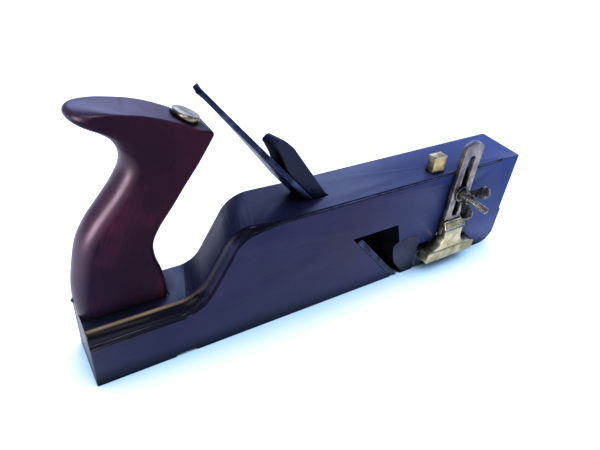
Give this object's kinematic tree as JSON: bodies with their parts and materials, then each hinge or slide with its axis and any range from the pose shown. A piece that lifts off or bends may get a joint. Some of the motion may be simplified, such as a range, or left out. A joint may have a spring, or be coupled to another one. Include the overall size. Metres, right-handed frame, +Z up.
{
  "type": "fillister plane",
  "caption": "Wooden skew moving fillister plane with a stepped-down heel and open tote, side escapement, wedged iron, brass nicker and a slotted depth stop held by a wing nut.",
  "frame": {"origin": "centre of the sole", "axes": "+X along the stock to the toe, +Y across to the far (left) side, +Z up from the sole"},
  "size_m": [0.3279, 0.0665, 0.1662],
  "materials": {
    "ebonised_wood": "dark ebonised hardwood, worn satin polish",
    "boxwood": "old boxwood, end grain, handled",
    "mahogany": "dark red-brown hardwood, polished by hands",
    "brass": "old brass, filed and handled",
    "bronze_brown": "brown tarnished brass",
    "forged_iron": "dark forged and laid-steel iron",
    "steel": "plain dark steel"
  },
  "bodies": {
    "stock": {"stock": "ebonised_wood", "shoulder_boxing": "boxwood", "fence_bushes": "brass", "tote": "mahogany", "tote_bolt": "steel", "tote_nut": "brass", "heel_brad": "steel", "stop_stud": "bronze_brown", "stud_bush": "brass", "stud_washer": "bronze_brown"},
    "iron": {"iron": "forged_iron"},
    "wedge": {"wedge": "ebonised_wood"},
    "nicker": {"nicker_bar": "brass", "nicker_cutter": "steel", "nicker_rivet": "steel"},
    "depth_stop": {"depth_stop_arm": "brass", "depth_stop_foot": "brass", "depth_stop_rivets": "brass"},
    "wing_nut": {"wing_nut": "bronze_brown"}
  },
  "joints": [
    {"name": "iron_slide", "type": "slide", "parent": "stock", "child": "iron", "axis": [-0.6561, 0, 0.7547], "range_m": [-0.003, 0.002]},
    {"name": "wedge_slide", "type": "slide", "parent": "stock", "child": "wedge", "axis": [-0.5796, 0, 0.8149], "range_m": [0, 0.045]},
    {"name": "nicker_slide", "type": "slide", "parent": "stock", "child": "nicker", "axis": [0, 0, 1], "range_m": [-0.002, 0.006]},
    {"name": "depth_stop_slide", "type": "slide", "parent": "stock", "child": "depth_stop", "axis": [0, 0, 1], "range_m": [-0.027, 0.016]},
    {"name": "wing_nut_turn", "type": "hinge", "parent": "stock", "child": "wing_nut", "pos_m": [0.1018, -0.029, 0.066], "axis": [0, -1, 0], "continuous": true}
  ]
}
